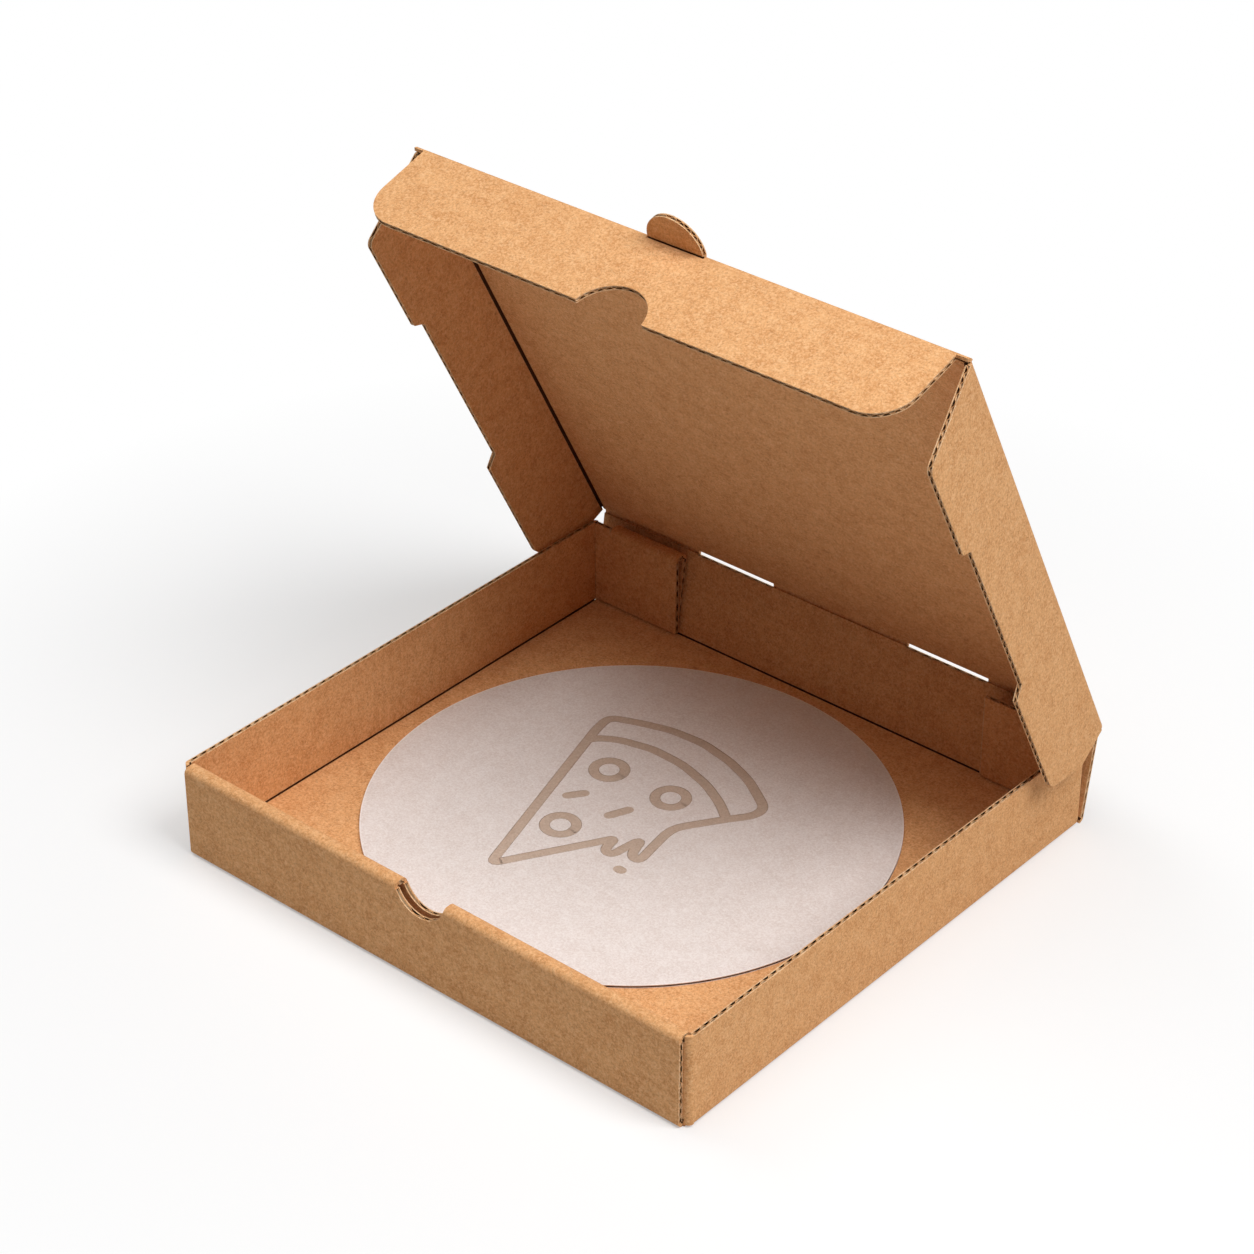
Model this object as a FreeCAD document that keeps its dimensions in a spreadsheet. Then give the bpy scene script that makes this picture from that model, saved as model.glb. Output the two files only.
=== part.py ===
import FreeCAD, Part
import math
import os
import Sketcher

# A small corrugated pizza box, folded from one die-cut sheet and standing with its lid open, with a
# loose round liner on its floor. Millimetres and degrees. The origin is at the middle of the floor's
# underside, the rolled front wall faces -Y, the lid is hinged at the back and Z is up.
# A "drop" is how far a flap hangs from its crease, and a "reach" is how far a panel runs from it.

SIZES = {
    # The sheet: its thickness, the gap between pieces that move, the air between folded layers
    # and the inner radius of a fold.
    "board": 1.5,
    "play": 0.3,
    "ply_gap": 0.1,
    "fold_inner": 0.3,
    # The tray.
    "tray_width": 180,
    "tray_depth": 174,
    "wall_height": 29,
    "roll_inset": 2.2,
    "notch_width": 17.6,
    "notch_deep": 7,
    "corner_flap_reach": 34,
    "corner_flap_clear": 0.7,
    "back_lean": 9,
    "slot_from": 24.5,
    "slot_to": 53,
    "slot_below": 1.6,
    # The rear flaps. The left one is doubled over at its top.
    "rear_flap_reach": 32,
    "rear_flap_foot": 0.5,
    "rear_flap_top": 0.3,
    "hem_from": 6,
    "hem_depth": 5.1,
    "hem_foot": 6.5,
    "hem_foot_thick": 0.5,
    # The lid, its front flap and the tab that stands at the front crease.
    "lid_reach": 164.5,
    "lid_open": 62.7,
    "front_flap_drop": 28,
    "front_flap_gap": 0.6,
    "front_flap_corner": 11,
    "front_flap_fold": 80,
    "moon_radius": 10.9,
    "moon_below": 1.2,
    "tab_radius": 9.2,
    "tab_stand": 90,
    # The lid's side flaps, measured back from the front crease: a slanted front end, a wide part,
    # a narrower waist, a wide tail with a rounded tip, and a rear edge that bends at a heel.
    "side_flap_front": 1.2,
    "side_flap_slant": 8.3,
    "side_flap_drop": 27.5,
    "front_round": 2.5,
    "waist_start": 44,
    "waist_end": 106.5,
    "waist_step": 2.5,
    "waist_drop": 24.5,
    "tail_drop": 28.5,
    "tail_end": 152,
    "tail_round": 5,
    "heel_drop": 14,
    "heel_end": 162.8,
    "tail_rear": 0.8,
    "right_flap_fold": 82,
    "left_flap_fold": 90,
    # The round liner, which lies a little to the left of the middle and towards the back.
    "liner_radius": 76,
    "liner_thick": 1,
    "liner_left": 5.5,
    "liner_back": 4,
}

doc = FreeCAD.newDocument("pizza_box")
sheet = doc.addObject("Spreadsheet::Sheet", "Sizes")
for row, (alias, value) in enumerate(SIZES.items(), start=1):
    sheet.set(f"A{row}", alias)
    sheet.set(f"B{row}", str(value))
    sheet.setAlias(f"B{row}", alias)
doc.recompute()

# Places that several pieces share, as formulas of the sheet's cells.
BOARD = "Sizes.board"
HALF_BOARD = "(Sizes.board / 2)"
FOLD = "(Sizes.board + Sizes.fold_inner)"
SIDE = "(Sizes.tray_width / 2)"
SIDE_FACE = f"({SIDE} - {BOARD})"
SIDE_BEND = f"({SIDE} - {FOLD})"
FRONT = "(-Sizes.tray_depth / 2)"
BACK = "(Sizes.tray_depth / 2)"
BACK_BEND = f"({BACK} - {FOLD})"
TOP = "Sizes.wall_height"
# A moving flap starts this far from its hinge line, past the round of the crease.
START = f"({HALF_BOARD} + Sizes.play)"
# The back wall leans, and the lid's hinge line is the middle of the board at its top.
LEAN = "(Sizes.back_lean * 1 deg)"
FOLD_MIDDLE = f"(Sizes.fold_inner + {HALF_BOARD})"
HINGE_Z = f"({TOP} + {START})"
BACK_WALL_RUN = f"(({HINGE_Z} - {FOLD} + {FOLD_MIDDLE} * sin({LEAN})) / cos({LEAN}))"
HINGE_Y = f"({BACK_BEND} + {FOLD_MIDDLE} * cos({LEAN}) + {BACK_WALL_RUN} * sin({LEAN}))"
# The lid's side flaps hang outside the side walls, and its front flap goes inside the front wall.
LID_SIDE = f"({SIDE} + {START})"
FRONT_CREASE = "(-Sizes.lid_reach)"
# The rear flaps turn about the side walls' inner faces, just in front of the back wall.
REAR_AXIS = f"({BACK} - 2 * {BOARD} - Sizes.play)"

# The three ways that a rod can lie. Its angles start at +X when upright, at +Y along X, at +Z along Y.
UPRIGHT = ("0; 0; 1", "rotation(vector(0; 0; 1); 0)")
ALONG_X = ("1; 0; 0", "rotation(vector(1; 1; 1); 120)")
ALONG_Y = ("0; 1; 0", "rotation(vector(1; 1; 1); 240)")


def at(x, y, z):
    """A shift, as the text of an expression."""
    return f"placement(vector({x}; {y}; {z}); {UPRIGHT[1]})"


def turned(axis, angle):
    """A turn about a line through the origin, as the text of an expression."""
    return f"placement(vector(0; 0; 0); rotation(vector({axis}); {angle}))"


def put(piece, *steps):
    """Place a piece by the product of the steps."""
    piece.setExpression("Placement", " * ".join(steps))
    return piece


def block(name, x, y, z):
    """A box between pairs of formulas."""
    piece = doc.addObject("Part::Box", name)
    for size, (low, high) in zip(("Length", "Width", "Height"), (x, y, z)):
        piece.setExpression(size, f"{high} - ({low})")
    return put(piece, at(x[0], y[0], z[0]))


def rod(name, radius, length, place, lie=UPRIGHT, start="0", sweep="360"):
    """A cylinder, or the slice of one that goes from the start angle through the sweep."""
    axis, stand = lie
    piece = doc.addObject("Part::Cylinder", name)
    piece.setExpression("Radius", radius)
    piece.setExpression("Height", length)
    piece.setExpression("Angle", sweep)
    return put(piece, at(*place), turned(axis, start), f"placement(vector(0; 0; 0); {stand})")


def cut(name, base, tool):
    piece = doc.addObject("Part::Cut", name)
    piece.Base = base
    piece.Tool = tool
    return piece


def join(name, pieces):
    piece = doc.addObject("Part::MultiFuse", name)
    piece.Shapes = pieces
    piece.Refine = True
    return piece


def bend(name, length, place, lie, start, sweep="90"):
    """The round of a fold: a slice of tube, as thick as the board."""
    outer = rod(f"{name}_outside", FOLD, length, place, lie, start, sweep)
    inner = rod(f"{name}_inside", "Sizes.fold_inner", length, place, lie)
    return cut(name, outer, inner)


def flat_board(name, corners, rounds=()):
    """A flat of board, half of it above its own XY plane, from the corners of its outline.
    rounds lists the corners that are rounded, each as its number and its radius."""
    body = doc.addObject("PartDesign::Body", name)
    sketch = body.newObject("Sketcher::SketchObject", f"{name}_outline")
    plane = [face for face in body.Origin.OriginFeatures if face.Role == "XY_Plane"][0]
    sketch.AttachmentSupport = [(plane, "")]
    sketch.MapMode = "FlatFace"
    # The lines start as a polygon on a circle, and the formulas pull each corner to its place.
    count = len(corners)
    turns = [2 * math.pi * number / count for number in range(count)]
    ring = [FreeCAD.Vector(math.cos(turn), math.sin(turn), 0) for turn in turns]
    for number in range(count):
        sketch.addGeometry(Part.LineSegment(ring[number], ring[(number + 1) % count]), False)
    for number in range(count):
        sketch.addConstraint(Sketcher.Constraint("Coincident", number, 2, (number + 1) % count, 1))
    for number, corner in enumerate(corners):
        first = ring[number]
        for way, value, formula in zip(("DistanceX", "DistanceY"), (first.x, first.y), corner):
            index = sketch.addConstraint(Sketcher.Constraint(way, -1, 1, number, 1, value))
            sketch.setExpression(f"Constraints[{index}]", formula)
    pad = body.newObject("PartDesign::Pad", f"{name}_pad")
    pad.Profile = sketch
    pad.SideType = "Symmetric"
    pad.setExpression("Length", BOARD)
    doc.recompute()
    for number, radius in rounds:
        corner = sketch.Geometry[number].StartPoint
        solid = body.Tip
        upright = [index for index, edge in enumerate(solid.Shape.Edges, start=1)
                   if all(math.hypot(end.X - corner.x, end.Y - corner.y) < 1e-4 for end in edge.Vertexes)]
        rounding = body.newObject("PartDesign::Fillet", f"{name}_round_{number}")
        rounding.Base = (solid, [f"Edge{upright[0]}"])
        rounding.setExpression("Radius", radius)
        doc.recompute()
    return body


def tray():
    """Floor, rolled front wall, side walls with the front flaps that the roll holds, and back wall.
    All of it is one sheet: the folded layers of the front wall lie a ply_gap apart."""
    layer = f"({BOARD} + Sizes.ply_gap)"
    roll_side = f"({SIDE} - Sizes.roll_inset)"
    roll_width = (f"-{roll_side}", roll_side)
    roll_back = f"({FRONT} + {BOARD} + 2 * {layer})"
    front_bend = f"({FRONT} + {FOLD})"
    inner_bend = f"({roll_back} - {FOLD})"
    top_bend = f"({TOP} - {FOLD})"
    full_roll = f"2 * {roll_side}"
    pieces = [
        block("floor", (f"-{SIDE_BEND}", SIDE_BEND), (front_bend, BACK_BEND), ("0", BOARD)),
        bend("front_foot", full_roll, (roll_width[0], front_bend, FOLD), ALONG_X, "180"),
        block("front_outer", roll_width, (FRONT, f"{FRONT} + {BOARD}"), (FOLD, top_bend)),
        bend("roll_outer", full_roll, (roll_width[0], front_bend, top_bend), ALONG_X, "90"),
        block("roll_top", roll_width, (front_bend, inner_bend), (f"{TOP} - {BOARD}", TOP)),
        bend("roll_inner", full_roll, (roll_width[0], inner_bend, top_bend), ALONG_X, "0"),
        block("front_inner", roll_width, (f"{roll_back} - {BOARD}", roll_back), (layer, top_bend)),
    ]

    # Side walls, right and left: the foot, the wall, the upright bend at its front, the flap that
    # runs on from it between the layers of the roll, and the round of the rear flap's crease.
    wall_front = f"({FRONT} + {layer} + {FOLD})"
    flap_foot = f"({FOLD} + Sizes.corner_flap_clear)"
    flap_top = f"{TOP} - {BOARD} - Sizes.corner_flap_clear"
    flap_end = f"({SIDE_BEND} - Sizes.corner_flap_reach)"
    sides = (
        ("right", "", (SIDE_FACE, SIDE), (flap_end, SIDE_BEND), "90", "-90"),
        ("left", "-", (f"-{SIDE}", f"-{SIDE_FACE}"), (f"-{SIDE_BEND}", f"-{flap_end}"), "180", "180"),
    )
    for name, sign, wall, flap, foot_start, corner_start in sides:
        bend_x = f"{sign}{SIDE_BEND}"
        pieces += [
            bend(f"{name}_foot", f"{REAR_AXIS} - {wall_front}", (bend_x, wall_front, FOLD), ALONG_Y,
                 foot_start),
            block(f"{name}_wall", wall, (wall_front, REAR_AXIS), (FOLD, TOP)),
            bend(f"{name}_corner", f"{TOP} - {flap_foot}", (bend_x, wall_front, flap_foot), UPRIGHT,
                 corner_start),
            block(f"{name}_corner_flap", flap, (f"{FRONT} + {layer}", f"{FRONT} + {layer} + {BOARD}"),
                  (flap_foot, flap_top)),
            rod(f"{name}_rear_crease", HALF_BOARD, f"{TOP} - {FOLD}",
                (f"{sign}({SIDE} - {HALF_BOARD})", REAR_AXIS, FOLD)),
        ]

    # The back wall leans back from its bend, and its top edge is the round of the lid's crease.
    back_wall = doc.addObject("Part::Box", "back_wall")
    back_wall.setExpression("Length", "Sizes.tray_width")
    back_wall.setExpression("Width", BOARD)
    back_wall.setExpression("Height", BACK_WALL_RUN)
    put(back_wall, at(f"-{SIDE}", BACK_BEND, FOLD), turned("1; 0; 0", "-Sizes.back_lean"),
        at("0", "Sizes.fold_inner", "0"))
    pieces += [
        bend("back_foot", "Sizes.tray_width", (f"-{SIDE}", BACK_BEND, FOLD), ALONG_X, "-90",
             "90 - Sizes.back_lean"),
        back_wall,
        rod("lid_crease", HALF_BOARD, "Sizes.tray_width", (f"-{SIDE}", HINGE_Y, HINGE_Z), ALONG_X),
    ]

    # The finger notch is a round bite out of both layers of the front wall. The two slots weaken
    # the lid's crease.
    half_notch = "(Sizes.notch_width / 2)"
    notch_radius = f"(({half_notch} ^ 2 + Sizes.notch_deep ^ 2) / (2 * Sizes.notch_deep))"
    notch = rod("finger_notch", notch_radius, f"{roll_back} - ({FRONT}) + 2 * {BOARD}",
                ("0", f"{FRONT} - {BOARD}", f"{TOP} - Sizes.notch_deep + {notch_radius}"), ALONG_Y)
    openings = [notch]
    for name, span in (("right", ("Sizes.slot_from", "Sizes.slot_to")),
                       ("left", ("-Sizes.slot_to", "-Sizes.slot_from"))):
        openings.append(block(f"{name}_slot", span, (f"{HINGE_Y} - {FOLD}", f"{HINGE_Y} + {FOLD}"),
                              (f"{HINGE_Z} - Sizes.slot_below", f"{HINGE_Z} + {BOARD}")))
    return cut("tray", join("tray_sheet", pieces), join("tray_openings", openings))


# The rear flaps' own frame: the origin on the turning line at floor level, X along the back wall.
REAR_FLAP_FOOT = f"({BOARD} + Sizes.rear_flap_foot)"
REAR_FLAP_TOP = f"({TOP} - Sizes.rear_flap_top)"


def rear_flap_right():
    """A plain flap of the right side wall, folded in against the back wall."""
    span = (f"{SIDE_FACE} - Sizes.rear_flap_reach", f"{SIDE_FACE} - Sizes.play")
    return block("rear_flap_right", span, (REAR_AXIS, f"{REAR_AXIS} + {BOARD}"),
                 (REAR_FLAP_FOOT, REAR_FLAP_TOP))


def rear_flap_left():
    """The left side wall's flap, doubled over at its top. Its free layer hangs behind, crushed
    thin towards its foot, in the wedge of space that the leaning back wall leaves."""
    hem_bend = f"({REAR_FLAP_TOP} - {FOLD})"
    rear_bend = f"(Sizes.hem_depth - {FOLD})"
    near = "Sizes.hem_from"
    far = "Sizes.rear_flap_reach"
    length = f"{far} - {near}"
    panel = block("hem_root", ("Sizes.play", near), ("0", BOARD), (REAR_FLAP_FOOT, REAR_FLAP_TOP))
    front = block("hem_front", (near, far), ("0", BOARD), (REAR_FLAP_FOOT, hem_bend))
    front_bend = bend("hem_front_bend", length, (near, FOLD, hem_bend), ALONG_X, "90")
    strip = block("hem_top", (near, far), (FOLD, rear_bend), (f"{REAR_FLAP_TOP} - {BOARD}", REAR_FLAP_TOP))
    back_bend = bend("hem_rear_bend", length, (near, rear_bend, hem_bend), ALONG_X, "0")
    # The wedge's own Y is upright and its own Z points to the front of the box.
    foot_face = f"({BOARD} + Sizes.ply_gap)"
    layer = doc.addObject("Part::Wedge", "hem_layer")
    ends = {
        "Xmin": "0", "Xmax": length, "X2min": "0", "X2max": length,
        "Ymin": "Sizes.hem_foot", "Ymax": hem_bend,
        "Zmin": f"-({foot_face} + Sizes.hem_foot_thick)", "Zmax": f"-{foot_face}",
        "Z2min": "-Sizes.hem_depth", "Z2max": f"-(Sizes.hem_depth - {BOARD})",
    }
    for end, formula in ends.items():
        layer.setExpression(end, formula)
    put(layer, at(near, "0", "0"), turned("1; 0; 0", "90"))
    flap = join("rear_flap_left", [panel, front, front_bend, strip, back_bend, layer])
    return put(flap, at(f"-{SIDE_FACE}", REAR_AXIS, "0"))


# The lid's frame has its origin on the hinge line, and the closed lid lies along -Y in it.
LID_FRAME = (at("0", HINGE_Y, HINGE_Z), turned("1; 0; 0", "-Sizes.lid_open"))
FRONT_FLAP_FRAME = LID_FRAME + (at("0", FRONT_CREASE, "0"), turned("1; 0; 0", "Sizes.front_flap_fold"))


def lid_panel():
    """The lid's top, with the rounds of its three creases and the hole that the tab leaves."""
    span = (f"-{LID_SIDE}", LID_SIDE)
    panel = flat_board("lid_flat", [(span[0], f"-{START}"), (span[0], FRONT_CREASE),
                                    (span[1], FRONT_CREASE), (span[1], f"-{START}")])
    creases = [rod("front_crease", HALF_BOARD, f"2 * {LID_SIDE}", (span[0], FRONT_CREASE, "0"), ALONG_X)]
    for name, side in (("right", span[1]), ("left", span[0])):
        creases.append(rod(f"{name}_crease", HALF_BOARD, f"-{START} - {FRONT_CREASE}",
                           (side, FRONT_CREASE, "0"), ALONG_Y))
    hole_radius = "(Sizes.tab_radius + Sizes.play)"
    hole = [
        rod("tab_hole_round", hole_radius, f"2 * {BOARD}", ("0", f"{FRONT_CREASE} + {START}", f"-{BOARD}"),
            UPRIGHT, "0", "180"),
        block("tab_hole_foot", (f"-{hole_radius}", hole_radius), (f"{FRONT_CREASE} - {BOARD}",
              f"{FRONT_CREASE} + {START}"), (f"-{BOARD}", BOARD)),
    ]
    panel_sheet = join("lid_sheet", [panel] + creases)
    return put(cut("lid_panel", panel_sheet, join("tab_hole", hole)), *LID_FRAME)


def lid_front_flap():
    """The front flap, rounded at its free corners, with a half-moon out of its free edge. It
    carries the piece of the crease that the tab stands on."""
    flap_side = f"({SIDE_FACE} - Sizes.front_flap_gap)"
    drop = "(-Sizes.front_flap_drop)"
    flat = flat_board("front_flap_flat", [(f"-{flap_side}", f"-{START}"), (f"-{flap_side}", drop),
                                          (flap_side, drop), (flap_side, f"-{START}")],
                      [(1, "Sizes.front_flap_corner"), (2, "Sizes.front_flap_corner")])
    foot = ("-Sizes.tab_radius", "Sizes.tab_radius")
    root = block("tab_root", foot, (f"-{START}", "0"), (f"-{HALF_BOARD}", HALF_BOARD))
    crease = rod("tab_crease", HALF_BOARD, "2 * Sizes.tab_radius", (foot[0], "0", "0"), ALONG_X)
    moon = rod("half_moon", "Sizes.moon_radius", f"2 * {BOARD}",
               ("0", f"{drop} - Sizes.moon_below", f"-{BOARD}"))
    sheet_with_crease = join("front_flap_sheet", [flat, root, crease])
    return put(cut("lid_front_flap", sheet_with_crease, moon), *FRONT_FLAP_FRAME)


def lid_tab():
    """The half-round tab, cut out of the lid's top and stood up on the front flap's crease."""
    tab = rod("lid_tab", "Sizes.tab_radius", BOARD, ("0", "0", "0"), UPRIGHT, "180", "180")
    return put(tab, *FRONT_FLAP_FRAME, turned("1; 0; 0", "-Sizes.tab_stand"),
               at("0", f"-{START}", f"-{HALF_BOARD}"), turned("0; 0; 1", "180"))


def lid_side_flap(name, sign, fold):
    """A side flap of the lid. Its corners run from the front end of the crease to the rear end."""
    def corner(drop, back):
        return f"{sign}{drop}", f"{FRONT_CREASE} + {back}"

    corners = [
        corner(START, "Sizes.side_flap_front"),
        corner("Sizes.side_flap_drop", "Sizes.side_flap_front + Sizes.side_flap_slant"),
        corner("Sizes.side_flap_drop", "Sizes.waist_start"),
        corner("Sizes.waist_drop", "Sizes.waist_start + Sizes.waist_step"),
        corner("Sizes.waist_drop", "Sizes.waist_end"),
        corner("Sizes.tail_drop", "Sizes.waist_end + Sizes.waist_step"),
        corner("Sizes.tail_drop", "Sizes.tail_end"),
        corner("Sizes.heel_drop", "Sizes.heel_end"),
        (f"{sign}{START}", "-Sizes.tail_rear"),
    ]
    flap = flat_board(name, corners, [(1, "Sizes.front_round"), (6, "Sizes.tail_round")])
    return put(flap, *LID_FRAME, at(f"{sign}{LID_SIDE}", "0", "0"), turned("0; 1; 0", fold))


def liner_disc():
    """The round liner, which lies loose on the floor."""
    return rod("liner_disc", "Sizes.liner_radius", "Sizes.liner_thick",
               ("-Sizes.liner_left", "Sizes.liner_back", BOARD))


nodes = [
    tray(),
    rear_flap_right(),
    rear_flap_left(),
    lid_panel(),
    lid_front_flap(),
    lid_tab(),
    lid_side_flap("lid_right_flap", "", "Sizes.right_flap_fold"),
    lid_side_flap("lid_left_flap", "-", "-Sizes.left_flap_fold"),
    liner_disc(),
]
doc.recompute()

for piece in doc.Objects:
    if {"Invalid", "Error"} & set(piece.State):
        raise RuntimeError(f"{piece.Name} did not rebuild: {piece.State}")
for node in nodes:
    shape = node.Shape
    if shape.isNull() or not shape.isValid() or len(shape.Solids) != 1:
        raise RuntimeError(f"{node.Label} is not one sound solid")

os.makedirs("parts", exist_ok=True)
for node in nodes:
    node.Shape.exportStep(f"parts/{node.Label}.step")
    box = node.Shape.BoundBox
    print(f"{node.Label}: volume {node.Shape.Volume:.1f}, x {box.XMin:.2f} {box.XMax:.2f}, "
          f"y {box.YMin:.2f} {box.YMax:.2f}, z {box.ZMin:.2f} {box.ZMax:.2f}")
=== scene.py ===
import math
import bmesh
import bpy
from mathutils import Matrix, Vector


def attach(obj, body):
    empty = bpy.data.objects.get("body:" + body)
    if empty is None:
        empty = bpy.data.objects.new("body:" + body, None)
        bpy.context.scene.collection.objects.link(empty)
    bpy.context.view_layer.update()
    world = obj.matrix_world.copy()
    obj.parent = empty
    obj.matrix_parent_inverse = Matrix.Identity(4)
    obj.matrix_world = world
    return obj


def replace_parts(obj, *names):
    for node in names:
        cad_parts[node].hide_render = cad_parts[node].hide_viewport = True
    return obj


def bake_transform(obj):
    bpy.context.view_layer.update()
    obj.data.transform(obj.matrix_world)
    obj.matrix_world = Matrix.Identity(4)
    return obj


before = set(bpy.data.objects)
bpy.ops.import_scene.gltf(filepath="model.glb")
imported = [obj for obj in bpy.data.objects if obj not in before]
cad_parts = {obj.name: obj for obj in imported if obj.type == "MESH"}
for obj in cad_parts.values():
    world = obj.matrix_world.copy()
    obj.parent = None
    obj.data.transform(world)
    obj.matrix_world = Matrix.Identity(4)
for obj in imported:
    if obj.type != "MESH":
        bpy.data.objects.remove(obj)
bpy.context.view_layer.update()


# The paper of the board. Both liners are unbleached kraft: a warm tan with mottled pulp, pale and
# dark fibres, and the faint bands of the flutes behind. Where the board is cut, the liners' raw edges
# are paler and the wavy fluting paper a deeper brown; the hollows between them are painted dark, as
# painted shade. The inside of a fold is painted dark too, as painted shade.
MM = 0.001
FLUTE_PITCH = 3.3 * MM


def group(name, inputs, outputs):
    """A shader node group with named sockets: its tree, its inputs and its outputs."""
    tree = bpy.data.node_groups.new(name, "ShaderNodeTree")
    for socket, kind, value in inputs:
        made = tree.interface.new_socket(socket, in_out="INPUT", socket_type=kind)
        made.default_value = value
    for socket, kind in outputs:
        tree.interface.new_socket(socket, in_out="OUTPUT", socket_type=kind)
    return tree, tree.nodes.new("NodeGroupInput"), tree.nodes.new("NodeGroupOutput")


def add_node(tree, kind, settings=(), **links):
    """A node with its settings, linked or set by the names of its inputs."""
    node = tree.nodes.new(kind)
    for name, value in dict(settings).items():
        setattr(node, name, value)
    for name, value in links.items():
        socket = node.inputs[int(name[1:])] if name[0] == "_" else node.inputs[name.replace("_", " ")]
        if isinstance(value, bpy.types.NodeSocket):
            tree.links.new(value, socket)
        else:
            socket.default_value = value
    return node


def paper_pulp():
    """Pulp under a press: soft clouds, a fine grain, and short curled fibres, some pale and some dark.
    It takes a point and four colours, and gives a colour and a height."""
    tree, inside, outside = group("paper_pulp", [
        ("Vector", "NodeSocketVector", (0, 0, 0)),
        ("Paper", "NodeSocketColor", (0.7, 0.4, 0.2, 1)),
        ("Cloud", "NodeSocketColor", (0.6, 0.33, 0.16, 1)),
        ("Fibre", "NodeSocketColor", (0.4, 0.2, 0.1, 1)),
        ("Pale", "NodeSocketColor", (0.8, 0.5, 0.3, 1)),
    ], [("Color", "NodeSocketColor"), ("Height", "NodeSocketFloat")])
    point = inside.outputs["Vector"]
    clouds = add_node(tree, "ShaderNodeTexNoise", Vector=point, Scale=210.0, Detail=3.0, Roughness=0.6)
    grain = add_node(tree, "ShaderNodeTexNoise", Vector=point, Scale=1500.0, Detail=1.5, Roughness=0.75)
    # Each layer: its noise, the values where it starts and is full, its colour and its strength.
    layers = [(clouds, 0.36, 0.64, "Cloud", 1.0),
              (grain, 0.5, 0.72, "Fibre", 0.34),
              (grain, 0.5, 0.3, "Pale", 0.55)]
    # A fibre lies along a contour of a noise, where its value passes through the middle.
    for scale, width, paper, strength in ((480.0, 0.035, "Fibre", 0.3), (640.0, 0.045, "Pale", 0.5)):
        noise = add_node(tree, "ShaderNodeTexNoise", Vector=point, Scale=scale, Detail=1.0, Distortion=1.1)
        off = add_node(tree, "ShaderNodeMath", {"operation": "SUBTRACT"}, _0=noise.outputs["Fac"], _1=0.5)
        size = add_node(tree, "ShaderNodeMath", {"operation": "ABSOLUTE"}, _0=off.outputs["Value"])
        layers.append((size, width, 0.0, paper, strength))
    color = inside.outputs["Paper"]
    for source, low, high, paper, strength in layers:
        mask = add_node(tree, "ShaderNodeMapRange", Value=source.outputs[0], From_Min=low, From_Max=high,
                        To_Max=strength)
        mixed = add_node(tree, "ShaderNodeMix", {"data_type": "RGBA"}, _0=mask.outputs["Result"], _6=color,
                         _7=inside.outputs[paper])
        color = mixed.outputs[2]
    tree.links.new(color, outside.inputs["Color"])
    tree.links.new(grain.outputs["Fac"], outside.inputs["Height"])
    return tree


def flute_bands():
    """The washboard of the flutes behind a liner: takes the flat sheet's place, gives a wave."""
    tree, inside, outside = group("flute_bands", [("Sheet", "NodeSocketVector", (0, 0, 0))],
                                  [("Wave", "NodeSocketFloat")])
    axes = add_node(tree, "ShaderNodeSeparateXYZ", Vector=inside.outputs["Sheet"])
    drift = add_node(tree, "ShaderNodeTexNoise", Vector=inside.outputs["Sheet"], Scale=40.0, Detail=1.0)
    run = add_node(tree, "ShaderNodeMath", {"operation": "MULTIPLY"}, _0=axes.outputs["Y"],
                   _1=2 * math.pi / FLUTE_PITCH)
    turn = add_node(tree, "ShaderNodeMath", {"operation": "SINE"}, _0=run.outputs["Value"])
    amount = add_node(tree, "ShaderNodeMapRange", Value=drift.outputs["Fac"], From_Min=0.35, From_Max=0.7)
    wave = add_node(tree, "ShaderNodeMath", {"operation": "MULTIPLY"}, _0=turn.outputs["Value"],
                    _1=amount.outputs["Result"])
    tree.links.new(wave.outputs["Value"], outside.inputs["Wave"])
    return tree


PULP = paper_pulp()
BANDS = flute_bands()


def sheet_paper(name, paper, cloud, fibre, pale, bands=0.0, rough=0.95):
    """A sheet of paper over flutes."""
    material = bpy.data.materials.new(name)
    material.use_nodes = True
    tree = material.node_tree
    shader = tree.nodes["Principled BSDF"]
    place = add_node(tree, "ShaderNodeTexCoord")
    pulp = add_node(tree, "ShaderNodeGroup", {"node_tree": PULP}, Vector=place.outputs["Object"],
                    Paper=(*paper, 1), Cloud=(*cloud, 1), Fibre=(*fibre, 1), Pale=(*pale, 1))
    wave = add_node(tree, "ShaderNodeGroup", {"node_tree": BANDS}, Sheet=place.outputs["UV"])
    tint = add_node(tree, "ShaderNodeMapRange", Value=wave.outputs["Wave"], From_Min=-1.0, From_Max=1.0,
                    To_Min=0.0, To_Max=bands)
    shaded = add_node(tree, "ShaderNodeMix", {"data_type": "RGBA"}, _0=tint.outputs["Result"],
                      _6=pulp.outputs["Color"], _7=(*fibre, 1))
    fine = add_node(tree, "ShaderNodeBump", Height=pulp.outputs["Height"], Strength=0.3, Distance=0.0001)
    ridges = add_node(tree, "ShaderNodeBump", Height=wave.outputs["Wave"], Normal=fine.outputs["Normal"],
                      Strength=0.6, Distance=0.00003)
    tree.links.new(shaded.outputs[2], shader.inputs["Base Color"])
    tree.links.new(ridges.outputs["Normal"], shader.inputs["Normal"])
    shader.inputs["Roughness"].default_value = rough
    shader.inputs["Specular IOR Level"].default_value = 0.22
    return material


def linear(red, green, blue):
    """A colour as a screen shows it, in the shader's own terms."""
    return tuple(part / 12.92 if part <= 0.04045 else ((part + 0.055) / 1.055) ** 2.4
                 for part in (red / 255, green / 255, blue / 255))


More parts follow.
